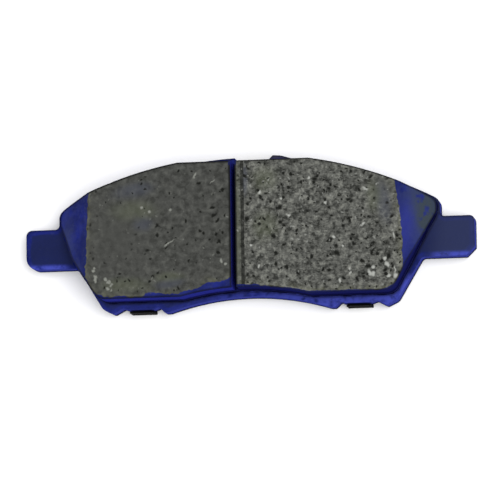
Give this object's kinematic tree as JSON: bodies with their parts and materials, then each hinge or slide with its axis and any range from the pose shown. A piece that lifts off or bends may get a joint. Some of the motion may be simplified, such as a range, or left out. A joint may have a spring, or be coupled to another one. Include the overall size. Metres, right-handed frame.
{
  "type": "disc brake pad",
  "caption": "Disc brake pad: stamped steel backing plate with two ears, slotted friction lining with sloped ends and a clip-on noise shim.",
  "frame": {"origin": "on the piston face (the pad's back), at the middle of the pad's length and on the centreline of the ears", "axes": "+X along the pad, +Y away from the wheel's axle, +Z out of the friction face; the pad lies on its back"},
  "size_m": [0.132, 0.0452, 0.0167],
  "materials": {
    "shim_black": "satin black coated steel",
    "damping_rubber": "matte",
    "damping_steel": "cold rolled",
    "adhesive": "cured adhesive film",
    "plate_blue": "satin powder coat",
    "lining": "ground friction composite, matte"
  },
  "bodies": {
    "root": {"clip_shim": "shim_black", "damping_rubber_rear": "damping_rubber", "damping_core": "damping_steel", "damping_rubber_front": "damping_rubber", "shim_adhesive": "adhesive", "backing_plate": "plate_blue", "bond_film": "adhesive", "underlayer": "lining", "friction_block_left": "lining", "friction_block_right": "lining"}
  },
  "joints": []
}
